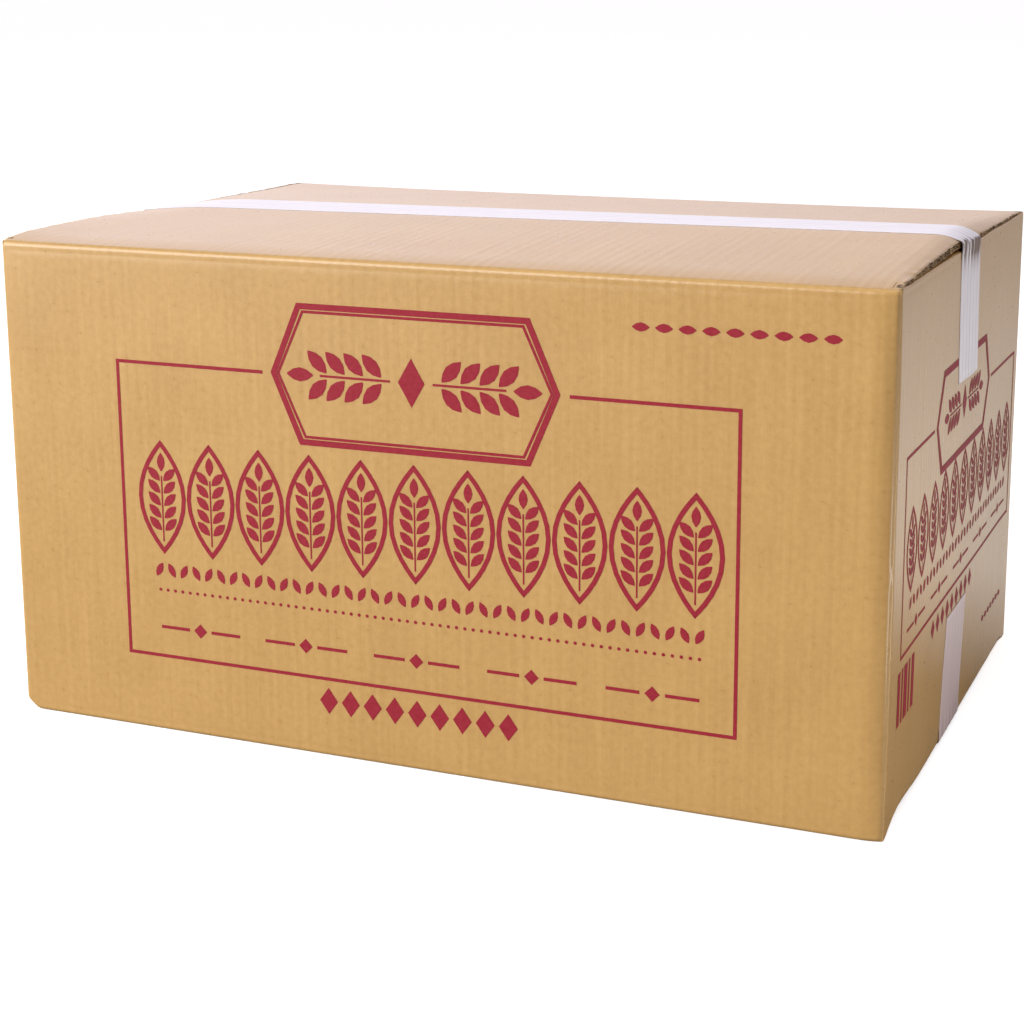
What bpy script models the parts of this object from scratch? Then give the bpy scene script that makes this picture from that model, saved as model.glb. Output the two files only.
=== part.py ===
"""A sealed shipping carton: a regular slotted container of corrugated board, taped shut.

Metres, +Z up. The origin is on the floor, under the middle of the carton. The length runs
along X, the front panel faces -Y, and the end panels face -X and +X. The board blank is one
folded sheet on the real carton; here it is split at its flap scores, so the tube of walls and
each flap is a solid of its own, a hair clear of its neighbours.
"""

import math

import bmesh
import bpy
from mathutils import Vector

# Driving dimensions, outside sizes of the closed carton
LENGTH = 0.610
WIDTH = 0.412
HEIGHT = 0.330
BOARD = 0.004
GAP = 0.0003

# Folds and slots of the blank
WALL_FOLD_RADIUS = 0.005
WALL_FOLD_INSIDE = 0.0015
FLAP_FOLD_RADIUS = 0.0034
MAJOR_FLAP_INSET = 0.0015
MINOR_FLAP_SIDE_CLEARANCE = 0.0025
SEAM_GAP = 0.001
GLUE_TAB_WIDTH = 0.035
GLUE_TAB_SETBACK = 0.014

# The full carton pushes its top up along a soft crest, just in front of the seam, higher
# towards the right end, and the flap edges stay partly lifted where they end
TOP_RISE = 0.0095
TOP_RISE_TILT = 0.002
TOP_CREST_Y = -0.035
TOP_ARCH_POWER = 1.25
TOP_FALL_LENGTH = 0.045
TOP_END_SHARE = 0.5

# Its bottom seam arches a little off the floor
BOTTOM_RISE = 0.0012
BOTTOM_ARCH_HALF_WIDTH = 0.100

# Tape
TAPE_WIDTH = 0.064
TAPE_THICKNESS = 0.0005
TAPE_FOLD_RADIUS = 0.0026
TOP_TAPE_DROP = 0.093
BOTTOM_TAPE_DROP = 0.081

# Spacing of the mesh lines on the arched flaps and tapes
FINE_STEP = 0.010
COARSE_STEP = 0.0445
ARCH_STEP = 0.025
FOLD_SEGMENTS = 4

HALF_LENGTH = LENGTH / 2
HALF_WIDTH = WIDTH / 2

KRAFT = {"colour": (0.62, 0.42, 0.20), "roughness": 0.85}
KRAFT_TOP = {"colour": (0.70, 0.55, 0.40), "roughness": 0.85}
TAPE_WHITE = {"colour": (0.88, 0.87, 0.92), "roughness": 0.45}


def clear_scene():
    for existing in list(bpy.data.objects):
        bpy.data.objects.remove(existing, do_unlink=True)


def finish_material(name, finish):
    """A Principled material with one colour and roughness."""
    material = bpy.data.materials.new(name)
    material.use_nodes = True
    shader = material.node_tree.nodes["Principled BSDF"]
    shader.inputs["Base Color"].default_value = (*finish["colour"], 1.0)
    shader.inputs["Roughness"].default_value = finish["roughness"]
    shader.inputs["Metallic"].default_value = 0.0
    return material


def link_object(bm, name, finish=None):
    """Turn a bmesh into a named object, with its finish where it has one."""
    mesh = bpy.data.meshes.new(name)
    bm.to_mesh(mesh)
    bm.free()
    piece = bpy.data.objects.new(name, mesh)
    bpy.context.scene.collection.objects.link(piece)
    if finish:
        mesh.materials.append(finish_material(name + "_finish", finish))
    return piece


def solid_from(bm, name, finish=None):
    """The same for a closed shape, with its faces turned outwards."""
    bmesh.ops.recalc_face_normals(bm, faces=bm.faces[:])
    return link_object(bm, name, finish)


def block(low, high):
    """A bmesh box between two corners."""
    bm = bmesh.new()
    bmesh.ops.create_cube(bm, size=1.0)
    low = Vector(low)
    high = Vector(high)
    bmesh.ops.scale(bm, vec=high - low, verts=bm.verts[:])
    bmesh.ops.translate(bm, vec=(low + high) / 2, verts=bm.verts[:])
    return bm


def round_edges(bm, radius, chosen, segments=FOLD_SEGMENTS):
    """Round the edges that the test chooses, to one radius."""
    edges = [edge for edge in bm.edges if chosen(edge)]
    bmesh.ops.bevel(bm, geom=edges, offset=radius, offset_type="OFFSET", segments=segments,
                    profile=0.5, affect="EDGES", material=-1)


def is_vertical(edge):
    start, end = edge.verts
    return abs(start.co.z - end.co.z) > abs((start.co - end.co).xy.length)


def cut_at(bm, axis, places):
    """Add mesh lines across the piece at the given places along one axis."""
    normal = Vector((0, 0, 0))
    normal[axis] = 1.0
    for place in places:
        bmesh.ops.bisect_plane(bm, geom=bm.verts[:] + bm.edges[:] + bm.faces[:],
                               plane_co=normal * place, plane_no=normal)


def even_steps(start, end, step):
    """Places from start to end at about the given step, both ends left out."""
    count = max(1, round(abs(end - start) / step))
    return [start + (end - start) * index / count for index in range(1, count)]


def lengthwise_lines():
    """Mesh lines along X for the top: fine near the ends, where it falls, coarse between."""
    fall_start = HALF_LENGTH - TOP_FALL_LENGTH
    right_end = even_steps(fall_start, HALF_LENGTH, FINE_STEP)
    left_end = [-place for place in right_end]
    middle = even_steps(-fall_start, fall_start, COARSE_STEP)
    return left_end + [-fall_start] + middle + [fall_start] + right_end


def crosswise_lines(half_span):
    """Mesh lines along Y, the same on both sides of the seam, with the tape's edges among them."""
    one_side = even_steps(0, half_span, ARCH_STEP) + [TAPE_WIDTH / 2]
    return [-place for place in one_side] + [0.0] + one_side


def top_lift(x, y):
    """How far the contents push the closed top up at a point."""
    side_span = HALF_WIDTH + TOP_CREST_Y if y < TOP_CREST_Y else HALF_WIDTH - TOP_CREST_Y
    across = 1 - min(abs(y - TOP_CREST_Y) / side_span, 1.0) ** TOP_ARCH_POWER
    from_end = min(max((HALF_LENGTH - abs(x)) / TOP_FALL_LENGTH, 0.0), 1.0)
    along = 1 - (1 - TOP_END_SHARE) * (1 - from_end) ** 2
    return (TOP_RISE + TOP_RISE_TILT * x / HALF_LENGTH) * across * along


def bottom_lift(x, y):
    """How far the bottom seam stands off the floor."""
    across = max(1 - (y / BOTTOM_ARCH_HALF_WIDTH) ** 2, 0.0)
    return BOTTOM_RISE * across ** 2


def lift_mesh(bm, lift):
    """Raise each point by the lift at its place, with the faces split into triangles."""
    heights = [(vertex, lift(vertex.co.x, vertex.co.y)) for vertex in bm.verts]
    for vertex, height in heights:
        vertex.co.z += height
    bmesh.ops.triangulate(bm, faces=bm.faces[:], quad_method="FIXED")


def subtract(piece, bm, name):
    """Cut a shape out of a piece, with a hidden cutter."""
    cutter = solid_from(bm, name)
    cutter.hide_render = True
    cutter.display_type = "WIRE"
    modifier = piece.modifiers.new(name, "BOOLEAN")
    modifier.operation = "DIFFERENCE"
    modifier.solver = "EXACT"
    modifier.object = cutter


def tube_inside():
    """The space inside the walls, with the glue tab left standing at the back left corner."""
    reach = 2 * BOARD
    bm = block((-HALF_LENGTH + BOARD, -HALF_WIDTH + BOARD, -reach),
               (HALF_LENGTH - BOARD, HALF_WIDTH - BOARD, HEIGHT + reach))
    round_edges(bm, WALL_FOLD_INSIDE, is_vertical, segments=2)
    tab = block((-HALF_LENGTH, HALF_WIDTH - 2 * BOARD, GLUE_TAB_SETBACK),
                (-HALF_LENGTH + BOARD + GLUE_TAB_WIDTH, HALF_WIDTH, HEIGHT - GLUE_TAB_SETBACK))
    inside = solid_from(bm, "inside_of_tube")
    subtract(inside, tab, "glue_tab_left_standing")
    inside.hide_render = True
    inside.display_type = "WIRE"
    return inside


def raise_end_tops(bm, top_of_wall):
    """Lift the top of each end panel with the flaps that it carries."""
    for vertex in bm.verts:
        if abs(vertex.co.z - top_of_wall) < GAP and abs(vertex.co.y) < HALF_WIDTH - WALL_FOLD_RADIUS - GAP:
            vertex.co.z += top_lift(vertex.co.x, vertex.co.y)
    bmesh.ops.triangulate(bm, faces=bm.faces[:], quad_method="FIXED")


def make_walls():
    """The four panels, creased into a tube, with the glue tab lapped inside the back panel."""
    bm = block((-HALF_LENGTH, -HALF_WIDTH, BOARD + GAP),
               (HALF_LENGTH, HALF_WIDTH, HEIGHT - BOARD - GAP))
    round_edges(bm, WALL_FOLD_RADIUS, is_vertical)
    cut_at(bm, 1, crosswise_lines(HALF_WIDTH))
    top_of_wall = HEIGHT - BOARD - GAP
    raise_end_tops(bm, top_of_wall)
    walls = solid_from(bm, "carton_walls", KRAFT)
    hollow = walls.modifiers.new("inside", "BOOLEAN")
    hollow.operation = "DIFFERENCE"
    hollow.solver = "EXACT"
    hollow.object = tube_inside()
    notch_side = HALF_WIDTH - BOARD - MINOR_FLAP_SIDE_CLEARANCE / 2
    notch_depth = 2 * BOARD + 2 * GAP
    beyond = HALF_LENGTH + BOARD
    top_notch = block((-beyond, -notch_side, HEIGHT - notch_depth), (beyond, notch_side, HEIGHT + BOARD))
    bottom_notch = block((-beyond, -notch_side, -BOARD), (beyond, notch_side, notch_depth))
    for notch, lift, name in ((top_notch, top_lift, "notch_for_top_minor_flaps"),
                              (bottom_notch, bottom_lift, "notch_for_bottom_minor_flaps")):
        cut_at(notch, 1, crosswise_lines(HALF_WIDTH))
        lift_mesh(notch, lift)
        subtract(walls, notch, name)
    return walls


def flap_span(minor, sign):
    """The low and high corners of a flap in plan, folded flat."""
    if minor:
        side = HALF_WIDTH - BOARD - MINOR_FLAP_SIDE_CLEARANCE
        near = HALF_LENGTH
        far = HALF_LENGTH - HALF_WIDTH
        return (min(sign * near, sign * far), -side), (max(sign * near, sign * far), side)
    side = HALF_LENGTH - MAJOR_FLAP_INSET
    near = HALF_WIDTH
    far = SEAM_GAP / 2
    return (-side, min(sign * near, sign * far)), (side, max(sign * near, sign * far))


def make_flap(name, minor, sign, top):
    """One flap, from its rounded fold to its free edge, arched with the face it closes."""
    depth = BOARD + GAP if minor else 0.0
    outer = HEIGHT - depth if top else depth
    inner = outer - BOARD if top else outer + BOARD
    low, high = flap_span(minor, sign)
    bm = block((*low, min(outer, inner)), (*high, max(outer, inner)))
    across = 0 if minor else 1
    fold = sign * (HALF_LENGTH if minor else HALF_WIDTH)

    def on_fold(edge):
        return all(abs(vertex.co[across] - fold) < GAP and abs(vertex.co.z - outer) < GAP
                   for vertex in edge.verts)

    round_edges(bm, FLAP_FOLD_RADIUS, on_fold)
    cut_at(bm, 1, crosswise_lines(HALF_WIDTH))
    if top:
        cut_at(bm, 0, lengthwise_lines())
    lift_mesh(bm, top_lift if top else bottom_lift)
    return solid_from(bm, name, KRAFT_TOP if top else KRAFT)


def make_flaps():
    """The minor flaps fold in first, from the ends; the major flaps meet over them."""
    for side, top in (("top", True), ("bottom", False)):
        make_flap(side + "_minor_flap_left", True, -1, top)
        make_flap(side + "_minor_flap_right", True, 1, top)
        make_flap(side + "_major_flap_front", False, -1, top)
        make_flap(side + "_major_flap_back", False, 1, top)


def fold_over_end(along):
    """Where a point of the tape goes: its X, and how far below the face it comes to lie."""
    straight = HALF_LENGTH + GAP - TAPE_FOLD_RADIUS
    arc_length = TAPE_FOLD_RADIUS * math.pi / 2
    turned = min(max(along - straight, 0.0), arc_length) / TAPE_FOLD_RADIUS
    hanging = max(along - straight - arc_length, 0.0)
    x = min(along, straight) + TAPE_FOLD_RADIUS * math.sin(turned)
    return x, TAPE_FOLD_RADIUS * (1 - math.cos(turned)) + hanging


def make_tape(name, top):
    """A tape along the seam, lifted with the flaps and folded over both ends."""
    straight = HALF_LENGTH + GAP - TAPE_FOLD_RADIUS
    arc_length = TAPE_FOLD_RADIUS * math.pi / 2
    drop = TOP_TAPE_DROP if top else BOTTOM_TAPE_DROP
    reach = straight + arc_length + drop - TAPE_FOLD_RADIUS
    lift = top_lift if top else bottom_lift
    outward = 1 if top else -1
    face = HEIGHT + GAP if top else -GAP
    bm = bmesh.new()
    bmesh.ops.create_grid(bm, x_segments=1, y_segments=1, size=1.0)
    bmesh.ops.scale(bm, vec=Vector((reach, TAPE_WIDTH / 2, 1.0)), verts=bm.verts[:])
    fold_lines = [straight + arc_length * index / FOLD_SEGMENTS for index in range(FOLD_SEGMENTS + 1)]
    face_lines = [place for place in lengthwise_lines() if abs(place) < straight]
    cut_at(bm, 0, face_lines + fold_lines + [-place for place in fold_lines])
    cut_at(bm, 1, [place for place in crosswise_lines(HALF_WIDTH) if abs(place) < TAPE_WIDTH / 2])
    for vertex in bm.verts:
        x, below = fold_over_end(abs(vertex.co.x))
        x = math.copysign(x, vertex.co.x)
        vertex.co.x = x
        vertex.co.z = face - outward * below + lift(x, vertex.co.y)
    if not top:
        bmesh.ops.reverse_faces(bm, faces=bm.faces[:])
    tape = link_object(bm, name, TAPE_WHITE)
    thickness = tape.modifiers.new("thickness", "SOLIDIFY")
    thickness.thickness = TAPE_THICKNESS
    thickness.offset = 1.0
    thickness.use_even_offset = True


clear_scene()
make_walls()
make_flaps()
make_tape("tape_top", True)
make_tape("tape_bottom", False)
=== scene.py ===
"""The looks of a sealed shipping carton: a folded corrugated blank, its printing and its tapes.

Metres, +Z up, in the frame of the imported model. The front panel faces -Y and the length runs
along X. The board blank is drawn flat, as four strips of panel and flaps, and each point of it
is then folded to its place in the carton.
"""

import math
from functools import partial
from itertools import product
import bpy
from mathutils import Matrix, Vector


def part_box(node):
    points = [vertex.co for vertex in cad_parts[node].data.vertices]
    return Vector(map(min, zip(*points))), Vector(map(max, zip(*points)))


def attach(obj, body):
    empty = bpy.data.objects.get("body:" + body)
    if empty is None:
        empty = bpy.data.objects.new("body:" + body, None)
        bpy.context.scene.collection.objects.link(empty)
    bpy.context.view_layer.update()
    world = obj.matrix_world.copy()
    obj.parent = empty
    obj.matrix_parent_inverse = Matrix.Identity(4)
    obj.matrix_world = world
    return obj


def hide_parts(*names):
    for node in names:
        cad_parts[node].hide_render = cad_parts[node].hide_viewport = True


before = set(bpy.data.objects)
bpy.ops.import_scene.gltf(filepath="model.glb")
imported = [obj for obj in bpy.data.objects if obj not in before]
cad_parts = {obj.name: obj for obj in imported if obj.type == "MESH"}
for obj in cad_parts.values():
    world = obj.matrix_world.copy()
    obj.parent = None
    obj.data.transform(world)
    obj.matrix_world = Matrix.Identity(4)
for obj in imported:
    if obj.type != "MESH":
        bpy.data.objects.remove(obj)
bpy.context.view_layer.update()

from types import SimpleNamespace

import bmesh
import bpy
from mathutils import Matrix, Vector, noise

bl_info = {
    "name": "Sealed Shipping Carton",
    "version": (1, 0, 0),
    "blender": (4, 5, 0),
    "location": "3D View > Sidebar > Carton",
    "description": "Folds a corrugated carton from its flat blank, prints it and tapes it shut",
    "category": "Add Mesh",
}

BODY = "root"
BOARD_SLOT = "kraft_board"
TAPE_SLOT = "white_tape"
BOARD_NODES = [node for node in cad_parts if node.startswith(("carton", "top_m", "bottom_m"))]

# Outside sizes of the closed carton, from the frame
BOARD = 0.004
WALLS_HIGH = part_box("carton_walls")[1]
HALF_LENGTH = WALLS_HIGH.x
HALF_WIDTH = WALLS_HIGH.y
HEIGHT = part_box("top_major_flap_front")[0].z + BOARD
HALF_HEIGHT = HEIGHT / 2
HALF_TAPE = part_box("tape_top")[1].y
TOP_TAPE_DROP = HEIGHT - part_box("tape_top")[0].z
BOTTOM_TAPE_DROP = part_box("tape_bottom")[1].z

# The visible faces lie a little inside the solids, which leaves room for ink on them
FACE_DEPTH = 0.00025
BOARD_BODY = 0.00335
LINER_THICKNESS = 0.0003
MEDIUM_THICKNESS = 0.0002

# Folds and slots of the blank
MAJOR_FOLD_RADIUS = 0.0034
MINOR_FOLD_RADIUS = 0.0016
TIGHTEST_FOLD = 0.0003
MAJOR_FLAP_SIDE = HALF_LENGTH - 0.0006
MINOR_FLAP_SIDE = HALF_WIDTH - 0.0065
FLAP_LENGTH = HALF_WIDTH - 0.0005
MINOR_FLAP_DEPTH = 0.0044
CORNER_FLATTENS_OVER = 0.008
# Outer radii of the corner folds, from the front right one round to the front left one
CORNER_RADII = (0.0028, 0.0038, 0.0038, 0.0038)
GLUE_TAB_WIDTH = 0.035
GLUE_TAB_SETBACK = 0.014
GLUE_JOINT_SETBACK = 0.0025

# How the full carton pushes its top up, and how the ends of the flaps settle
TOP_RISE = 0.0064
TOP_RISE_TILT = 0.0024
TOP_ROLL = 0.0014
TOP_ROLL_LENGTH = 0.030
TOP_CREST_Y = -0.035
TOP_ARCH_POWER = 1.25
LEFT_FLAP_END = SimpleNamespace(fall=0.060, power=7.0, front_rise=0.0027, back_rise=-0.0012,
                                sinks_from=-0.110, sinks_over=0.130)
RIGHT_FLAP_END = SimpleNamespace(fall=0.018, power=1.8, front_rise=0.0042, back_rise=0.0005,
                                 sinks_from=-HALF_TAPE, sinks_over=2 * HALF_TAPE)
BACK_SAG = 0.0028
BACK_SAG_AT_ENDS = 0.0013
BOTTOM_RISE = 0.0012
BOTTOM_ARCH_HALF_WIDTH = 0.100
BOTTOM_END_CURL = 0.0041
BOTTOM_CURL_LENGTH = 0.045

# How far the right end panel leans in at its foot
END_LEAN = 0.0019

# The front panel turns away a little before its right corner fold
SHOULDER_DEPTH = 0.0050
SHOULDER_LENGTH = 0.015
SHOULDER_RETURN = 0.070
SHOULDER_AT_TOP = 0.35
SHOULDER_AT_BOTTOM = 0.55

# The top and bottom creases of the end panels
END_CREASE_RISE = -0.0002
END_CREASE_WAVE = 0.0006
BOTTOM_FLAP_SPACE = 0.0012
BOTTOM_BUMP = 0.0034
BOTTOM_BUMP_Y = -0.158
BOTTOM_BUMP_HALF_WIDTH = 0.034
LEAST_FLAP_THICKNESS = 0.0010
END_CREASE_RAMP = 0.060
FOLD_RAMP = 0.020
MINOR_FLAP_SINKS_OVER = 0.020
TOP_CORNER_FADE = 0.010
BOTTOM_CORNER_FADE = 0.012
BOTTOM_FRONT_FADE = 0.021
BOTTOM_BACK_FADE = 0.019

# Slow hollows in the panels, and the groove beside each score
DENT_FADE = 0.05
DENT_SPAN = (0.15, 0.12)
GROOVE_SETBACK = 0.0022
GROOVE_HALF_WIDTH = 0.0012
GROOVE_FADE = 0.012
WANDER_SPAN = 0.25

# Wear: worn folds, lighter along them as worn liner and as a painted highlight, bruised corners and
# the crumpled side edges of the flaps
LONG_FOLD_WEAR_AND_HIGHLIGHT = 0.3
END_FOLD_WEAR_AND_HIGHLIGHT = 0.2
FOLD_WEAR_AND_HIGHLIGHT_HALF_WIDTH = 0.0028
CORNER_WEAR_AND_HIGHLIGHT_HALF_WIDTH = 0.0016
CRUMPLE_REACH = 0.010
CRUMPLE_PITCH = 0.009
CRUMPLE_FADE = 0.012
CRUMPLES_AT_LEFT = 0.35
CRUMPLES_BELOW = 0.3
BRUISE_PRESS = 0.92
BRUISES = (
    {"corner": (-1, -1, 0), "facing": (-0.60, -0.30, -0.74), "depth": 0.0072},
    {"corner": (1, -1, 0), "facing": (0.80, -0.30, -0.52), "depth": 0.0018},
)
PRESSED_EDGE_Y = -0.165
PRESSED_EDGE_HALF_WIDTH = 0.006

# Spacing of the mesh lines of the board
BROAD_STEP = 0.0115
MIDDLE_STEP = 0.0048
CLOSE_STEP = 0.0018
FOLD_STEPS = 7
MIDDLE_FROM_CORNER = 0.055
CLOSE_FROM_CORNER = 0.016
MIDDLE_FROM_FOLD = 0.050
CLOSE_FROM_FOLD = 0.010

FLUTE_PITCH = 0.0077

# The wavy medium at the flaps' side edges
MEDIUM_REACH = 2 * FLUTE_PITCH
MEDIUM_SETBACK = 0.0002
MEDIUM_COLUMNS = 24
MEDIUM_WAVE = 0.40
MEDIUM_SLUMP = 0.12

# The torn layers there
TEAR_LAYERS = 4
TEAR_COLUMNS = 4
TEAR_START = 0.003
TEAR_STEP = 0.0012
TEAR_REACH = 0.0045
TEAR_OUTER = 0.06
TEAR_INNER = 0.97
TEAR_ELSEWHERE = 0.4
TEAR_SAG = 0.35


def smooth(value):
    """A soft step from 0 to 1."""
    value = min(max(value, 0.0), 1.0)
    return value * value * (3 - 2 * value)


def blend(start, end, share):
    return start + (end - start) * share


def make_strip(turn):
    """One strip of the blank: a panel with its two flaps. Turn 0 is the front, 1 the right end."""
    long_panel = turn % 2 == 0
    radius = MAJOR_FOLD_RADIUS if long_panel else MINOR_FOLD_RADIUS
    fold_start = HALF_HEIGHT - radius
    return SimpleNamespace(
        turn=turn,
        long_panel=long_panel,
        half_span=HALF_LENGTH if long_panel else HALF_WIDTH,
        distance=HALF_WIDTH if long_panel else HALF_LENGTH,
        flap_side=MAJOR_FLAP_SIDE if long_panel else MINOR_FLAP_SIDE,
        fold_radius=radius,
        fold_start=fold_start,
        fold_middle=fold_start + radius * math.pi / 4,
        fold_end=fold_start + radius * math.pi / 2,
        along=turn * (HALF_LENGTH + HALF_WIDTH),
        facing=((1, 0), (0, 1), (-1, 0), (0, -1))[turn],
    )


STRIPS = [make_strip(turn) for turn in range(4)]
FRONT, RIGHT_END, BACK, LEFT_END = STRIPS


def top_lift(x, y):
    """How far the contents push the closed top up at a point."""
    from_fold = min(max(HALF_WIDTH - abs(y), 0.0) / TOP_ROLL_LENGTH, 1.0)
    roll = TOP_ROLL * (1 - (1 - from_fold) ** 2)
    side_span = HALF_WIDTH + TOP_CREST_Y if y < TOP_CREST_Y else HALF_WIDTH - TOP_CREST_Y
    from_crest = min(abs(y - TOP_CREST_Y) / side_span, 1.0)
    inner = (TOP_RISE + TOP_RISE_TILT * x / HALF_LENGTH) * (1 - from_crest ** TOP_ARCH_POWER)
    end = RIGHT_FLAP_END if x > 0 else LEFT_FLAP_END
    rise = blend(end.front_rise, end.back_rise, smooth((y - end.sinks_from) / end.sinks_over))
    outer = rise * (1 - from_crest ** end.power)
    from_end = min(max((HALF_LENGTH - abs(x)) / end.fall, 0.0), 1.0)
    return roll + blend(inner, outer, (1 - from_end) ** 2)


def back_sag(point):
    """How far the back of the carton has sunk under what has stood on it, least at its ends."""
    deepest = blend(BACK_SAG, BACK_SAG_AT_ENDS, (point.x / HALF_LENGTH) ** 4)
    return deepest * smooth(point.y / HALF_WIDTH) * point.z / HEIGHT


def end_lean(point):
    """How far the right end leans in at a point."""
    return END_LEAN * max(point.x, 0.0) / HALF_LENGTH * (1 - point.z / HEIGHT)


def bottom_end_lift(x, y):
    """How far the bottom flaps' end edges have bent up off the floor."""
    bump = BOTTOM_BUMP * math.exp(-((y - BOTTOM_BUMP_Y) / BOTTOM_BUMP_HALF_WIDTH) ** 2)
    fade = BOTTOM_FRONT_FADE if y < 0 else BOTTOM_BACK_FADE
    away = 1 - math.exp(-(max(HALF_WIDTH - abs(y), 0.0) / fade) ** 2)
    return (BOTTOM_END_CURL + (bump if x > 0 else 0.0)) * away


def bottom_lift(x, y):
    """How far the bottom seam and the ends of the bottom flaps stand off the floor."""
    across = max(1 - (y / BOTTOM_ARCH_HALF_WIDTH) ** 2, 0.0)
    at_end = max(1 - (HALF_LENGTH - abs(x)) / BOTTOM_CURL_LENGTH, 0.0)
    return max(BOTTOM_RISE * across ** 2, bottom_end_lift(x, y) * at_end ** 2)


def bottom_crease_lift(x, y, from_corner):
    """How far an end panel's bottom crease stands off the floor."""
    away = 1 - math.exp(-(from_corner / BOTTOM_CORNER_FADE) ** 2)
    return bottom_end_lift(x, y) + BOTTOM_FLAP_SPACE * away


def shoulder(point):
    """How far the front right corner draws back, which turns the front panel away beside it."""
    from_corner = max(1 - (HALF_LENGTH - point.x) / SHOULDER_LENGTH, 0.0)
    from_front = max(1 - (point.y + HALF_WIDTH) / SHOULDER_RETURN, 0.0)
    held = min(smooth((HEIGHT - point.z) / 0.060) * (1 - SHOULDER_AT_TOP) + SHOULDER_AT_TOP,
               smooth(point.z / 0.050) * (1 - SHOULDER_AT_BOTTOM) + SHOULDER_AT_BOTTOM)
    return SHOULDER_DEPTH * from_corner ** 2 * from_front ** 2 * held


def end_crease_lift(x, y):
    """Height of an end panel's top crease over the long panels' creases."""
    wave = END_CREASE_WAVE * noise.noise(Vector((x, y / 0.020, 4.0)))
    return min(END_CREASE_RISE + wave, top_lift(x, y) - LEAST_FLAP_THICKNESS)


def minor_flap_lift(x, y):
    """The same for the minor flap behind that crease, which sinks under the major flaps."""
    from_end = HALF_LENGTH - abs(x)
    crease = end_crease_lift(math.copysign(HALF_LENGTH, x), y)
    return blend(crease, top_lift(x, y) - MINOR_FLAP_DEPTH, smooth(from_end / MINOR_FLAP_SINKS_OVER))


def minor_flap_height(x, y, from_corner):
    """Height over the floor of a bottom minor flap's underside, from its crease inwards."""
    settled = smooth((HALF_LENGTH - abs(x)) / MINOR_FLAP_SINKS_OVER)
    flap = MINOR_FLAP_DEPTH + bottom_lift(x, y)
    return blend(bottom_crease_lift(x, y, from_corner), flap, settled)


def fold_path(limit, outer_radius, along, depth):
    """Along a panel and round a fold: how far out the point comes, and how far in from the face."""
    radius = max(outer_radius - depth, TIGHTEST_FOLD)
    straight = limit - outer_radius
    turned = min(max(along - straight, 0.0) / outer_radius, math.pi / 2)
    beyond = max(along - straight - outer_radius * math.pi / 2, 0.0)
    reach = min(along, straight) * (limit - depth - radius) / straight + radius * math.sin(turned)
    return reach, depth + radius * (1 - math.cos(turned)) + beyond


def panel_limit(strip, side):
    """Half the span of a panel. The glue tab's corner lies a board's thickness further in."""
    if strip is LEFT_END and side < 0:
        return strip.half_span - BOARD
    return strip.half_span


def corner_radius(strip, side):
    """The radius of the fold at one side of a panel."""
    return CORNER_RADII[strip.turn if side > 0 else strip.turn - 1]


def panel_edge(strip, side):
    """Where a panel ends on the flat blank: the middle of its corner fold."""
    radius = corner_radius(strip, side)
    return panel_limit(strip, side) - radius + radius * math.pi / 4


def flap_edge(strip, side):
    """The side edge of a flap on the flat blank."""
    return min(strip.flap_side, panel_edge(strip, side))


def height_change(strip, spot, from_corner, up, level, inward, share, form):
    """How far a folded point is raised: by the arched faces, and at the end panels' creases."""
    x, y = spot
    near_fold = smooth((up - HALF_HEIGHT + FOLD_RAMP) / FOLD_RAMP)
    if strip.long_panel:
        outer = (bottom_lift(x, y) if level < 0 else top_lift(x, y)) * near_fold
        if inward <= strip.fold_radius or abs(x) < HALF_LENGTH - FLAP_LENGTH:
            return outer
        if level < 0:
            room = minor_flap_height(x, y, from_corner=HALF_WIDTH - abs(y)) - outer
        else:
            room = outer - minor_flap_lift(x, y) - form.flap_play
        thickness = min(BOARD_BODY, max(room - LINER_THICKNESS, LINER_THICKNESS))
        return outer + level * share * (BOARD_BODY - thickness)
    ramp = smooth((up - HALF_HEIGHT + END_CREASE_RAMP) / END_CREASE_RAMP)
    if level < 0:
        return minor_flap_height(x, y, from_corner) * ramp
    away = 1 - math.exp(-(from_corner / TOP_CORNER_FADE) ** 2)
    return blend(top_lift(x, y) * near_fold, minor_flap_lift(x, y) * ramp, away)


def panel_dent(strip, u, v, form):
    """Slow hollows in the panels and flaps, none at their folds."""
    from_corner = smooth((panel_edge(strip, math.copysign(1.0, u)) - abs(u)) / DENT_FADE)
    from_fold = smooth(abs(strip.fold_middle - abs(v)) / DENT_FADE)
    if abs(v) > strip.fold_middle and strip.long_panel:
        from_fold *= smooth((strip.fold_end + FLAP_LENGTH - abs(v) - HALF_TAPE) / DENT_FADE)
    wave = noise.noise(Vector((u / DENT_SPAN[0], v / DENT_SPAN[1], 7.3 * strip.turn)))
    return form.dent_depth * from_corner * from_fold * (0.5 + 0.5 * wave)


def score_groove(strip, from_corner, v, form):
    """The shallow groove that a scored fold leaves on the panel beside it."""
    across = math.exp(-((strip.fold_start - GROOVE_SETBACK - abs(v)) / GROOVE_HALF_WIDTH) ** 2)
    return form.groove_depth * across * smooth(from_corner / GROOVE_FADE)


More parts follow.
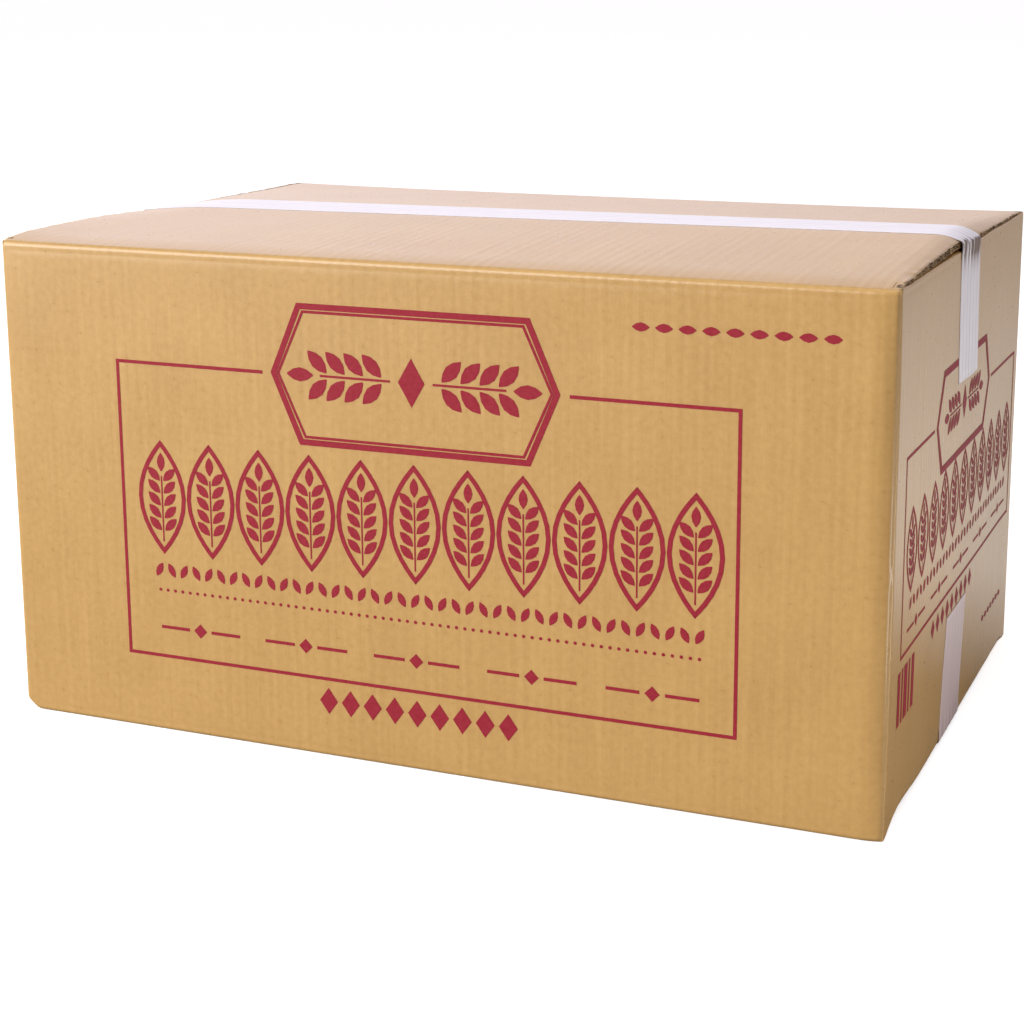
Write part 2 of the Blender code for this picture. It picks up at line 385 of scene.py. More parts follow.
def crumple(strip, u, v, form):
    """At the side edges of a major flap: how far the edge draws back, and how far it lifts."""
    run = abs(v) - strip.fold_end
    edge = 1 - (flap_edge(strip, math.copysign(1.0, u)) - abs(u)) / CRUMPLE_REACH
    if not strip.long_panel or run < 0 or edge <= 0:
        return 0.0, 0.0
    at_right_end = (strip is FRONT) == (u > 0)
    share = (1.0 if at_right_end else CRUMPLES_AT_LEFT) if v > 0 else CRUMPLES_BELOW
    amount = form.crumple_height * share * edge ** 2 * smooth(run / CRUMPLE_FADE)
    seed = 31.0 * strip.turn + (11.0 if u > 0 else 0.0)
    wave = noise.noise(Vector((v / CRUMPLE_PITCH, seed, 0.0)))
    fray = noise.noise(Vector((v / (CRUMPLE_PITCH / 2), seed, 5.0)))
    pressed = 0.0
    if strip is FRONT and u > 0 and v > 0:
        from_mark = (run + strip.fold_radius - HALF_WIDTH - PRESSED_EDGE_Y) / PRESSED_EDGE_HALF_WIDTH
        pressed = form.crumple_height * edge ** 2 * math.exp(-from_mark ** 2)
    return amount * (0.9 + 0.7 * fray), amount * (wave - 0.2) - pressed


def bruise(point):
    """Flatten the knocked corners of the carton."""
    for mark in BRUISES:
        corner = Vector((mark["corner"][0] * HALF_LENGTH, mark["corner"][1] * HALF_WIDTH,
                         mark["corner"][2] * HEIGHT))
        facing = Vector(mark["facing"]).normalized()
        beyond = (point - corner).dot(facing) + mark["depth"]
        if beyond > 0:
            point = point - facing * beyond * BRUISE_PRESS
    return point


def wander(point, form):
    """Let every edge wander a little inwards, as hand-folded board does."""
    sway = [0.5 + 0.5 * noise.noise(point / WANDER_SPAN + Vector((shift, 0, 0)))
            for shift in (0.0, 9.0)]
    draw = form.edge_wander / HALF_WIDTH
    return Vector((point.x * (1 - draw * sway[0]) - end_lean(point),
                   point.y * (1 - draw * sway[1]) + shoulder(point),
                   point.z - back_sag(point)))


def place(strip, u, v, share, form):
    """Where a point of the flat blank lies; share runs from the board's outer face to its inner."""
    depth = FACE_DEPTH + share * BOARD_BODY
    side = math.copysign(1.0, u)
    level = math.copysign(1.0, v)
    radius = corner_radius(strip, side)
    across, corner_in = fold_path(panel_limit(strip, side), radius, abs(u), depth)
    up, inward = fold_path(HALF_HEIGHT, strip.fold_radius, abs(v), depth)
    inward = min(inward, FLAP_LENGTH)
    flat = smooth((abs(v) - strip.fold_middle) / CORNER_FLATTENS_OVER)
    retreat, raised = crumple(strip, u, v, form)
    edge = flap_edge(strip, side)
    straight = panel_limit(strip, side) - radius
    spread_over = max(edge - straight, FACE_DEPTH)
    reach = max(strip.flap_side - edge, 0.0) * smooth((abs(u) - straight) / spread_over)
    across = blend(across, abs(u) + reach, flat) - retreat
    inward += (corner_in - depth) * (1 - flat)
    dent = panel_dent(strip, u, v, form)
    from_corner = max(panel_edge(strip, side) - abs(u), 0.0)
    if abs(v) < strip.fold_start:
        inward += dent + score_groove(strip, from_corner, v, form)
    else:
        raised -= dent * level
    cosine, sine = strip.facing
    out = strip.distance - inward
    spot = (cosine * side * across + sine * out, sine * side * across - cosine * out)
    z = HALF_HEIGHT + level * up + raised
    z += height_change(strip, spot, from_corner, up, level, inward, share, form)
    return wander(bruise(Vector((*spot, z))), form)


def lines_from(marks):
    """Mesh lines outwards from zero: each mark is a place to reach and the step to it."""
    lines = [0.0]
    for end, step in sorted(marks):
        start = lines[-1]
        if end - start < FACE_DEPTH:
            continue
        count = max(1, round((end - start) / step))
        lines += [start + (end - start) * index / count for index in range(1, count + 1)]
    return lines


def mirrored(low_side, high_side):
    """Join two sets of outward lines into one, from the low end to the high end."""
    return [-place for place in reversed(low_side[1:])] + high_side


def column_lines(strip, side, coarseness):
    """Mesh lines across one half of a panel, out to the middle of its corner fold."""
    limit = panel_limit(strip, side)
    radius = corner_radius(strip, side)
    straight = limit - radius
    marks = [(straight - MIDDLE_FROM_CORNER, BROAD_STEP * coarseness),
             (straight - CLOSE_FROM_CORNER, MIDDLE_STEP * coarseness),
             (straight, CLOSE_STEP * coarseness),
             (flap_edge(strip, side), CLOSE_STEP * coarseness)]
    if limit < strip.half_span:
        fold_end = straight + radius * math.pi / 2
        return lines_from(marks + [(fold_end, CLOSE_STEP), (fold_end + GLUE_TAB_WIDTH, BROAD_STEP)])
    return lines_from(marks + [(panel_edge(strip, side), CLOSE_STEP)])


def row_lines(strip, top, coarseness):
    """Mesh lines up one half of a strip, over the fold and on to the flap's free edge."""
    flap_step = MIDDLE_STEP * 0.75 if strip.long_panel and top else BROAD_STEP * 1.3
    return lines_from([
        (strip.fold_start - MIDDLE_FROM_FOLD, BROAD_STEP * coarseness),
        (strip.fold_start - CLOSE_FROM_FOLD, MIDDLE_STEP * coarseness),
        (strip.fold_start, CLOSE_STEP),
        (strip.fold_end, strip.fold_radius * math.pi / 2 / FOLD_STEPS),
        (strip.fold_end + CLOSE_FROM_FOLD, CLOSE_STEP * 1.4),
        (strip.fold_end + FLAP_LENGTH - strip.fold_radius, flap_step * coarseness),
    ])


def flat_grid(columns, rows):
    """A flat mesh grid with its lines at the given places along X and Y."""
    bm = bmesh.new()
    bmesh.ops.create_grid(bm, x_segments=len(columns) - 1, y_segments=len(rows) - 1, size=0.5)
    for vertex in bm.verts:
        column = round((vertex.co.x + 0.5) * (len(columns) - 1))
        row = round((vertex.co.y + 0.5) * (len(rows) - 1))
        vertex.co = (columns[column], rows[row], 0.0)
    return bm


def in_slot(strip, u, v):
    """Whether a point of the flat strip is cut away: slots, glue tab ends and the joint's edge."""
    if abs(v) > strip.fold_middle and abs(u) > strip.flap_side:
        return True
    if strip is BACK and u > strip.half_span - GLUE_JOINT_SETBACK:
        return True
    on_tab = strip is LEFT_END and u < -strip.half_span
    return on_tab and abs(v) > HALF_HEIGHT - GLUE_TAB_SETBACK


def crease_wear_and_highlight(strip, u, v):
    """How worn the liner is at a point, with the painted highlight of its rounded folds and corners:
    most along its folds.
    """
    from_fold = (abs(v) - strip.fold_middle) / FOLD_WEAR_AND_HIGHLIGHT_HALF_WIDTH
    from_corner = (panel_edge(strip, math.copysign(1.0, u)) - abs(u)) / CORNER_WEAR_AND_HIGHLIGHT_HALF_WIDTH
    fold_wear_and_highlight = LONG_FOLD_WEAR_AND_HIGHLIGHT if strip.long_panel else END_FOLD_WEAR_AND_HIGHLIGHT
    return max(fold_wear_and_highlight * math.exp(-from_fold ** 2), math.exp(-from_corner ** 2))


def add_flat_coordinates(bm, strip):
    """Keep the flat blank's coordinates, in metres, as the UV map, and its wear and painted fold
    highlight as an attribute.
    """
    flat_map = bm.loops.layers.uv.new("blank")
    wear = bm.verts.layers.float.new("wear")
    for vertex in bm.verts:
        vertex[wear] = crease_wear_and_highlight(strip, vertex.co.x, vertex.co.y)
        for loop in vertex.link_loops:
            loop[flat_map].uv = (strip.along + vertex.co.x, vertex.co.y)


def add_to(whole, bm):
    """Append one bmesh to another, and free it."""
    passing = bpy.data.meshes.new("passing")
    bm.to_mesh(passing)
    bm.free()
    whole.from_mesh(passing)
    bpy.data.meshes.remove(passing)


def fold_liner(share, coarseness, form):
    """One liner of the whole blank, folded, at a share of the board's thickness."""
    whole = bmesh.new()
    for strip in STRIPS:
        columns = mirrored(column_lines(strip, -1, coarseness), column_lines(strip, 1, coarseness))
        rows = mirrored(row_lines(strip, False, coarseness), row_lines(strip, True, coarseness))
        bm = flat_grid(columns, rows)
        cut = []
        for face in bm.faces:
            middle = face.calc_center_median()
            if in_slot(strip, middle.x, middle.y):
                cut.append(face)
        bmesh.ops.delete(bm, geom=cut, context="FACES")
        add_flat_coordinates(bm, strip)
        for vertex in bm.verts:
            vertex.co = place(strip, vertex.co.x, vertex.co.y, share, form)
        add_to(whole, bm)
    bmesh.ops.remove_doubles(whole, verts=whole.verts[:], dist=0.00002)
    return whole


def even_places(ends, count):
    """Places at even steps between two ends, in rising order."""
    low, high = sorted(ends)
    return [blend(low, high, index / count) for index in range(count + 1)]


def fold_medium(form):
    """The wavy sheet between the liners, along the side edges of the major flaps."""
    whole = bmesh.new()
    for strip, side, level in product((FRONT, BACK), (-1, 1), (-1, 1)):
        edge = flap_edge(strip, side)
        columns = even_places((side * (edge - MEDIUM_REACH), side * (edge - MEDIUM_SETBACK)),
                              MEDIUM_COLUMNS)
        rows = [row for row in row_lines(strip, level > 0, 1.0) if row > strip.fold_end]
        bm = flat_grid(columns, sorted(level * row for row in rows))
        add_flat_coordinates(bm, strip)
        for vertex in bm.verts:
            u, v = vertex.co.x, vertex.co.y
            wave = math.sin(2 * math.pi * u / FLUTE_PITCH + strip.turn)
            slump = MEDIUM_SLUMP * noise.noise(Vector((u / 0.004, v / 0.02, 2.0)))
            vertex.co = place(strip, u, v, 0.5 + (MEDIUM_WAVE + slump) * wave, form)
        add_to(whole, bm)
    return whole


def tear_layer(strip, side, layer, form):
    """One ragged layer of liner or fluting at a top flap's side edge."""
    edge = flap_edge(strip, side)
    worst = strip is FRONT and side > 0
    raggedness = form.tear_depth * (1.0 if worst else TEAR_ELSEWHERE)
    share = blend(TEAR_OUTER, TEAR_INNER, layer / (TEAR_LAYERS - 1))
    count = round((FLAP_LENGTH - strip.fold_radius - TEAR_START) / TEAR_STEP)
    rows = [strip.fold_end + TEAR_START + TEAR_STEP * index for index in range(count)]
    bm = flat_grid(even_places((side * (edge - TEAR_REACH), side * edge), TEAR_COLUMNS), rows)
    add_flat_coordinates(bm, strip)
    seed = 17.0 * layer + 5.0 * strip.turn + side
    for vertex in bm.verts:
        u, v = vertex.co.x, vertex.co.y
        near = smooth(1 - (edge - abs(u)) / TEAR_REACH)
        jag = noise.noise(Vector((v / 0.0060, seed, 1.0)))
        sag = noise.noise(Vector((v / 0.0085, seed, 6.0)))
        u += side * near * raggedness * min(jag - 0.1, 0.15)
        there = min(max(share + near * TEAR_SAG * sag, 0.10), 0.98)
        vertex.co = place(strip, u, v, there, form)
    return bm


def tear_edges(form):
    """The crushed side edges of the top major flaps, most at the front flap's right end."""
    whole = bmesh.new()
    for strip, side, layer in product((FRONT, BACK), (-1, 1), range(TEAR_LAYERS)):
        add_to(whole, tear_layer(strip, side, layer, form))
    return whole


def finish_piece(bm, name, material, slot, thickness, offset=-1.0, shade_smooth=True):
    """Turn a bmesh into a named piece of the carton with its material and thickness."""
    mesh = bpy.data.meshes.new(name)
    bm.to_mesh(mesh)
    bm.free()
    mesh.materials.append(material)
    if shade_smooth:
        mesh.shade_smooth()
    piece = bpy.data.objects.new(name, mesh)
    bpy.context.scene.collection.objects.link(piece)
    solidify = piece.modifiers.new("thickness", "SOLIDIFY")
    solidify.thickness = thickness
    solidify.offset = offset
    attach(piece, BODY)
    return piece


def linear(hex_colour):
    """An sRGB hex colour as the linear colour that a node takes."""
    channels = [int(hex_colour[start:start + 2], 16) / 255 for start in (1, 3, 5)]
    straight = [value / 12.92 if value <= 0.04045 else ((value + 0.055) / 1.055) ** 2.4
                for value in channels]
    return (*straight, 1.0)


def add_node(tree, kind, inputs=(), out=0, **settings):
    """Add a shader node with its settings and links, and give one of its outputs.

    The inputs are named, or in the node's own order; each is a value or another node's output.
    """
    node = tree.nodes.new("ShaderNode" + kind)
    for name, value in settings.items():
        setattr(node, name, value)
    inputs = inputs if isinstance(inputs, dict) else dict(enumerate(inputs))
    for key, value in inputs.items():
        if isinstance(value, bpy.types.NodeSocket):
            tree.links.new(value, node.inputs[key])
        else:
            node.inputs[key].default_value = value
    return node.outputs[out] if node.outputs else None


# What makes a Mix node mix colours, from its inputs 6 and 7
MIX = {"out": 2, "data_type": "RGBA"}


def new_material(name):
    """An empty node material, and the function that adds nodes to it."""
    material = bpy.data.materials.new(name)
    material.use_nodes = True
    material.node_tree.nodes.clear()
    return material, partial(add_node, material.node_tree)


def grain_noise(add, coordinates, size, stretch=(1.0, 1.0), detail=3.0, roughness=0.55):
    """Noise with features of a real size in metres, drawn out along one way by the stretch."""
    scale = (1 / (size * stretch[0]), 1 / (size * stretch[1]), 1.0)
    mapped = add("Mapping", {"Vector": coordinates, "Scale": scale})
    return add("TexNoise", {"Vector": mapped, "Scale": 1.0, "Detail": detail,
                            "Roughness": roughness}, out="Fac")


def weighted_sum(add, *parts):
    """The sum of patterns, each at its weight."""
    total = 0.0
    for pattern, weight in parts:
        total = add("Math", (pattern, weight, total), operation="MULTIPLY_ADD")
    return total


def flute_waves(add, coordinates):
    """Bands along the flutes, one to each flute pitch."""
    scale = 2 * math.pi / (20 * FLUTE_PITCH)
    return add("TexWave", {"Vector": coordinates, "Scale": scale, "Distortion": 0.0, "Detail": 0.0},
               out="Fac", wave_type="BANDS", bands_direction="X")


def kraft_liner_material(finish, washboard_depth):
    """Unbleached kraft linerboard, made on a paper machine: long brown fibres, lightly calendered.

    The eye gets a warm tan with soft cloudy mottles, fine fibres drawn out across the flutes,
    streaks along them, a faint washboard, and a dull sheen that turns pale at a low angle.
    """
    material, add = new_material("kraft_linerboard")
    flat = add("UVMap", uv_map="blank")
    clouds = grain_noise(add, flat, 0.070, detail=2.0)
    blotches = grain_noise(add, flat, 0.0045, roughness=0.6)
    fibres = grain_noise(add, flat, 0.0009, stretch=(5.0, 1.0))
    streaks = grain_noise(add, flat, 0.0040, stretch=(1.0, 40.0), detail=2.0)
    patches = grain_noise(add, flat, 0.012, stretch=(1.0, 12.0), detail=2.0)
    shown = add("MapRange", (patches, 0.35, 0.65, 0.05, 1.0))
    waves = add("Math", (flute_waves(add, flat), shown), operation="MULTIPLY")

    # The flute bands in the colour are painted shade of the washboard, and the streaks along the
    # flutes are partly the paper's own streaks, partly painted shade of it
    shade = 0.0
    for pattern, low, high, weight in ((clouds, 0.3, 0.7, 0.35), (blotches, 0.3, 0.7, 0.45),
                                       (fibres, 0.3, 0.7, 0.14), (waves, 0.0, 1.0, 0.10),
                                       (streaks, 0.3, 0.7, 0.30)):
        part = add("MapRange", (pattern, low, high, -weight, weight))
        shade = add("Math", (shade, part), operation="ADD")
    shade = add("MapRange", (shade, -1.0, 1.0))
    colour = add("Mix", {0: shade, 6: linear(finish.kraft_dark), 7: linear(finish.kraft_light)}, **MIX)
    # Lighter along the folds and corners: worn liner, and a painted highlight where the board rounds
    # over them
    wear = add("MapRange", (add("Attribute", attribute_name="wear", out="Fac"), 0.2, 1.0, 0.0, 0.5))
    colour = add("Mix", {0: wear, 6: colour, 7: linear(finish.kraft_worn_and_highlight)}, **MIX)

    height = weighted_sum(add, (waves, 0.55), (blotches, 0.20), (streaks, 0.70))
    bump = add("Bump", {"Height": height, "Distance": washboard_depth})
    roughness = add("MapRange", (blotches, 0.3, 0.7, 0.27, 0.35))
    board = add("BsdfPrincipled", {"Base Color": colour, "Roughness": roughness, "IOR": 1.5,
                                   "Normal": bump})
    add("OutputMaterial", {"Surface": board})
    return material


def inner_board_material(finish):
    """The board's inner liner and fluting: recycled kraft, duller, darker and rougher."""
    material, add = new_material("recycled_fluting_paper")
    flat = add("UVMap", uv_map="blank")
    blotches = grain_noise(add, flat, 0.004)
    fibres = grain_noise(add, flat, 0.0009, stretch=(4.0, 1.0), detail=2.0)
    shade = add("MapRange", (weighted_sum(add, (blotches, 0.6), (fibres, 0.4)), 0.35, 0.65))
    colour = add("Mix", {0: shade, 6: linear(finish.fluting_dark), 7: linear(finish.fluting_light)},
                 **MIX)
    bump = add("Bump", {"Height": fibres, "Distance": 0.0001})
    board = add("BsdfPrincipled", {"Base Color": colour, "Roughness": 0.8, "IOR": 1.5,
                                   "Normal": bump})
    add("OutputMaterial", {"Surface": board})
    return material


def torn_board_material(finish):
    """Torn and crushed corrugated board: pale pulled fibres over a dark core, painted as the shade in
    the torn layers' hollows.
    """
    material, add = new_material("torn_corrugated_board")
    flat = add("UVMap", uv_map="blank")
    scraps = grain_noise(add, flat, 0.0030, stretch=(1.0, 1.6), roughness=0.7)
    shade = add("MapRange", (scraps, 0.42, 0.60))
    # The dark patches are painted shade between the torn layers
    colour = add("Mix", {0: shade, 6: linear(finish.torn_shade), 7: linear(finish.torn_light)}, **MIX)
    bump = add("Bump", {"Height": scraps, "Distance": 0.0004})
    board = add("BsdfPrincipled", {"Base Color": colour, "Roughness": 0.85, "IOR": 1.5,
                                   "Normal": bump})
    add("OutputMaterial", {"Surface": board})
    return material


def ink_material(finish):
    """Water-based flexographic ink, stamped on by a rubber plate: dark red, thinner where the
    board gives under the plate, so that the paper's grain shows through it."""
    material, add = new_material("flexographic_ink")
    flat = add("UVMap", uv_map="blank")
    blotches = grain_noise(add, flat, 0.0035, roughness=0.65)
    fibres = grain_noise(add, flat, 0.0010, stretch=(3.0, 1.0), detail=2.0)
    thin = add("MapRange", (weighted_sum(add, (blotches, 0.6), (fibres, 0.4)), 0.35, 0.68))
    colour = add("Mix", {0: thin, 6: linear(finish.ink_full), 7: linear(finish.ink_thin)}, **MIX)
    bump = add("Bump", {"Height": fibres, "Distance": 0.00003})
    ink = add("BsdfPrincipled", {"Base Color": colour, "Roughness": 0.6, "IOR": 1.5,
                                 "Specular IOR Level": 0.2, "Normal": bump})
    add("OutputMaterial", {"Surface": ink})
    return material


def tape_material(finish):
    """White polypropylene strapping tape, cast with lengthwise ribs: cool white and half shiny."""
    material, add = new_material("white_polypropylene_tape")
    flat = add("UVMap", uv_map="blank")
    rib, lower, gathered = [add("Attribute", attribute_name=name, out="Fac")
                            for name in ("rib", "low", "gather")]
    streaks = grain_noise(add, flat, 0.0012, stretch=(30.0, 1.0), detail=2.0)
    clouds = grain_noise(add, flat, 0.020, detail=2.0)
    shade = add("MapRange", (weighted_sum(add, (streaks, 0.6), (clouds, 0.4)), 0.35, 0.65))
    colour = add("Mix", {0: shade, 6: linear(finish.tape_shade), 7: linear(finish.tape_white)}, **MIX)
    # Greyer in the grooves between the ribs: the thinner tape there, and painted shade of the grooves
    for cover, over in ((add("MapRange", (rib, 0.75, 0.35, 0.0, 0.8)), finish.tape_groove_shade),
                        # The whole bottom tape is mixed darker and pinker
                        (add("MapRange", (lower, 0.0, 1.0, 0.0, 0.75)), finish.tape_bottom_tone),
                        # Dark in the valleys of the gathered folds: painted shade there, with the
                        # board showing through the thin tape
                        (add("MapRange", (gathered, 0.0, 0.7, 0.0, 0.9)), finish.tape_gathered_shade)):
        colour = add("Mix", {0: cover, 6: colour, 7: linear(over)}, **MIX)
    bump = add("Bump", {"Height": streaks, "Distance": 0.00004})
    gloss = add("MapRange", (gathered, 0.0, 0.6, 0.65, 0.05))
    roughness = add("MapRange", (streaks, 0.3, 0.7, 0.36, 0.50))
    tape = add("BsdfPrincipled", {"Base Color": colour, "Roughness": roughness, "IOR": 1.49,
                                  "Specular IOR Level": gloss, "Normal": bump})
    add("OutputMaterial", {"Surface": tape})
    return material


def floor_material(finish):
    """Matt white studio paper, overexposed as in a catalogue picture.

    What the carton receives from it is kept low, because its own light would wash the board out.
    """
    material, add = new_material("studio_paper")
    seen = add("LightPath", out="Is Camera Ray")
    paper = add("BsdfPrincipled", {"Base Color": linear(finish.floor_white), "Roughness": 0.9,
                                   "Emission Color": linear("#FFFFFF"),
                                   "Emission Strength": finish.floor_glow})
    backwards = add("SeparateXYZ", [add("TexCoord", out="Object")], out="Y")
    near = add("MapRange", (backwards, 0.08, 0.38, 0.0, finish.floor_sheen))
    far = add("MapRange", (backwards, 0.6, 2.4, 1.0, 0.45))
    glow = add("Math", (near, far), operation="MULTIPLY")
    bounce = add("BsdfPrincipled", {"Base Color": linear(finish.floor_bounce), "Roughness": 0.9,
                                    "Emission Color": linear("#FFFFFF"), "Emission Strength": glow})
    add("OutputMaterial", {"Surface": add("MixShader", (seen, bounce, paper))})
    return material


# The plain stripes low on the end panels
STRIPE_WIDTHS = (0.0075, 0.0040, 0.0090, 0.0036, 0.0070)
STRIPES_FROM = -0.1760
STRIPE_PITCH = 0.0100

# Figures in a row of ears, and sides of a pointed outline and of a grain
EARS = 11
OUTLINE_SIDES = 28
GRAIN_SIDES = 12
LONGEST_PRINT_EDGE = 0.014


def at(x, y, degrees=0.0):
    """A place and turn on a flat panel."""
    return Matrix.Translation((x, y, 0.0)) @ Matrix.Rotation(math.radians(degrees), 4, "Z")


def draw_shape(bm, spot, width, height, sides, pointed=False, line=None):
    """A filled or outlined figure: a polygon, or a pointed oval like a grain."""
    made = bmesh.ops.create_circle(bm, cap_ends=True, segments=sides, radius=1.0)
    for vertex in made["verts"]:
        x, y = vertex.co.x, vertex.co.y
        if pointed:
            x = math.copysign(x * x, x)
        vertex.co.x = x * width / 2
        vertex.co.y = y * height / 2
    verts = made["verts"]
    if line:
        face = verts[0].link_faces[0]
        bmesh.ops.inset_individual(bm, faces=[face], thickness=line, use_even_offset=True)
        inner = list(face.verts)
        bmesh.ops.delete(bm, geom=[face], context="FACES_ONLY")
        verts = verts + inner
    bmesh.ops.transform(bm, matrix=spot, verts=verts)


def draw_rule(bm, spot, length, width):
    """A straight printed line."""
    made = bmesh.ops.create_grid(bm, x_segments=1, y_segments=1, size=0.5)
    bmesh.ops.scale(bm, vec=(length, width, 1.0), verts=made["verts"])
    bmesh.ops.transform(bm, matrix=spot, verts=made["verts"])


def draw_ear(bm, spot, length, pairs):
    """An upright ear of grain: a stalk with pairs of slanting grains up it and one on top."""
    pitch = length * 0.70 / pairs
    grain = pitch * 1.50
    girth = pitch * 0.72
    slant = 46
    stalk = length - grain - girth / 2
    draw_rule(bm, spot @ at(0, -length / 2 + stalk / 2, 90), stalk, pitch * 0.12)
    for index in range(pairs):
        y = length / 2 - grain * 1.15 - pitch * index
        for side in (-1, 1):
            draw_shape(bm, spot @ at(side * grain * 0.46, y, -side * slant), girth, grain,
                       GRAIN_SIDES, pointed=True)
    draw_shape(bm, spot @ at(0, length / 2 - grain / 2), girth, grain, GRAIN_SIDES, pointed=True)


def draw_row(bm, draw, count, start, end, y):
    """Repeat a figure along a row, evenly from start to end."""
    for index in range(count):
        draw(bm, blend(start, end, index / (count - 1)), y, index)


def draw_frame(bm, left, right, bottom, top, gap, line):
    """A ruled frame whose top line is broken by a plaque."""
    middle = (left + right) / 2
    draw_rule(bm, at(middle, bottom), right - left + line, line)
    for x in (left, right):
        draw_rule(bm, at(x, (bottom + top) / 2, 90), top - bottom - line, line)
    for start, end in ((left - line / 2, -gap), (gap, right + line / 2)):
        draw_rule(bm, at((start + end) / 2, top), end - start, line)


def draw_plaque(bm, y, width, height, line):
    """A six-sided plaque with a double outline, holding two lying ears and a lozenge."""
    for scale, weight in ((1.0, line), (0.90, line * 0.45)):
        made = bmesh.ops.create_circle(bm, cap_ends=True, segments=6, radius=1.0)
        bmesh.ops.rotate(bm, matrix=Matrix.Rotation(math.pi / 2, 3, "Z"), verts=made["verts"])
        for vertex in made["verts"]:
            across = vertex.co.x if abs(vertex.co.x) > 0.9 else math.copysign(0.80, vertex.co.x)
            vertex.co.x = across * (width / 2 - (1 - scale) * height / 2)
            vertex.co.y = vertex.co.y / math.sin(math.pi / 3) * height / 2 * scale
        face = made["verts"][0].link_faces[0]
        bmesh.ops.inset_individual(bm, faces=[face], thickness=weight, use_even_offset=True)
        verts = made["verts"] + list(face.verts)
        bmesh.ops.delete(bm, geom=[face], context="FACES_ONLY")
        bmesh.ops.transform(bm, matrix=at(0, y), verts=verts)
    for side in (-1, 1):
        draw_ear(bm, at(side * height * 0.56, y, -side * 90), height * 0.80, 4)
    draw_shape(bm, at(0, y), height * 0.20, height * 0.34, 4)


def draw_ear_band(bm, left, right, y, width, height):
    """A row of bold ears, each in a pointed outline."""
    def one(target, x, middle, index):
        draw_shape(target, at(x, middle), width, height, OUTLINE_SIDES, pointed=True,
                   line=width * 0.085)
        draw_ear(target, at(x, middle), height * 0.78, 5)
    draw_row(bm, one, EARS, left + width / 2, right - width / 2, y)


def seed_figure(width, height, lean):
    """A seed that leans to one side and the other by turns."""
    def one(target, x, y, index):
        draw_shape(target, at(x, y, lean if index % 2 else -lean), width, height, GRAIN_SIDES,
                   pointed=True)
    return one


def lozenge_figure(width, height):
    """A filled lozenge."""
    def one(target, x, y, index):
        draw_shape(target, at(x, y), width, height, 4)
    return one


def dot_figure(size):
    """A round dot."""
    def one(target, x, y, index):
        draw_shape(target, at(x, y), size, size, 10)
    return one


def rule_and_lozenge(length, line, size):
    """A short ornament: a rule, a lozenge and a rule."""
    def one(target, x, y, index):
        for side in (-1, 1):
            draw_rule(target, at(x + side * (length / 4 + size / 3), y), length / 2 - size, line)
        draw_shape(target, at(x, y), size, size, 4)
    return one


def draw_long_panel(bm):
    """The printing on the front and back panels, in metres from the panel's middle and the floor."""
    draw_frame(bm, left=-0.2160, right=0.2130, bottom=0.0535, top=0.2545, gap=0.106, line=0.0023)
    draw_plaque(bm, y=0.2550, width=0.200, height=0.092, line=0.0040)
    draw_ear_band(bm, left=-0.204, right=0.205, y=0.1640, width=0.0365, height=0.078)
    draw_row(bm, seed_figure(0.0052, 0.0108, 28), count=41, start=-0.190, end=0.190, y=0.1140)
    draw_row(bm, dot_figure(0.0023), count=67, start=-0.190, end=0.190, y=0.1000)
    draw_row(bm, rule_and_lozenge(0.064, 0.0022, 0.0100), count=5, start=-0.160, end=0.160, y=0.0740)
    draw_row(bm, lozenge_figure(0.0132, 0.0180), count=9, start=-0.064, end=0.064, y=0.0385)
    draw_row(bm, seed_figure(0.0056, 0.0112, 90), count=9, start=0.151, end=0.267, y=0.3000)


def draw_end_panel(bm):
    """The smaller printing on the end panels."""
    draw_frame(bm, left=-0.174, right=0.189, bottom=0.1040, top=0.2260, gap=0.095, line=0.0020)
    draw_plaque(bm, y=0.2260, width=0.178, height=0.067, line=0.0032)
    draw_ear_band(bm, left=-0.166, right=0.184, y=0.1660, width=0.030, height=0.054)
    draw_row(bm, seed_figure(0.0048, 0.0084, 28), count=33, start=-0.150, end=0.168, y=0.1320)
    draw_row(bm, rule_and_lozenge(0.054, 0.0018, 0.0080), count=5, start=-0.132, end=0.148, y=0.1165)
    draw_row(bm, lozenge_figure(0.0105, 0.0130), count=9, start=-0.078, end=0.044, y=0.0930)
    draw_row(bm, seed_figure(0.0050, 0.0088, 90), count=7, start=0.104, end=0.170, y=0.0440)
    for index, width in enumerate(STRIPE_WIDTHS):
        draw_rule(bm, at(STRIPES_FROM + index * STRIPE_PITCH, 0.0790, 90), 0.034, width)


def split_long_edges(bm, longest):
    """Halve the long edges until each figure can follow the board under it."""
    while True:
        edges = [edge for edge in bm.edges if edge.calc_length() > longest]
        if not edges:
            return
        bmesh.ops.subdivide_edges(bm, edges=edges, cuts=1, use_grid_fill=True)


def print_panel(name, strip, draw, form, material):
    """Draw a panel's figures flat, and lay them on the folded board."""
    bm = bmesh.new()
    draw(bm)
    split_long_edges(bm, LONGEST_PRINT_EDGE)
    flat_map = bm.loops.layers.uv.new("blank")
    share = -form.ink_lift / BOARD_BODY
    for vertex in bm.verts:
        u, v = vertex.co.x, vertex.co.y - HALF_HEIGHT
        for loop in vertex.link_loops:
            loop[flat_map].uv = (strip.along + u, v)
        vertex.co = place(strip, u, v, share, form)
    finish_piece(bm, name, material, slot=BOARD_SLOT, thickness=form.ink_thickness, offset=1.0,
                 shade_smooth=False)


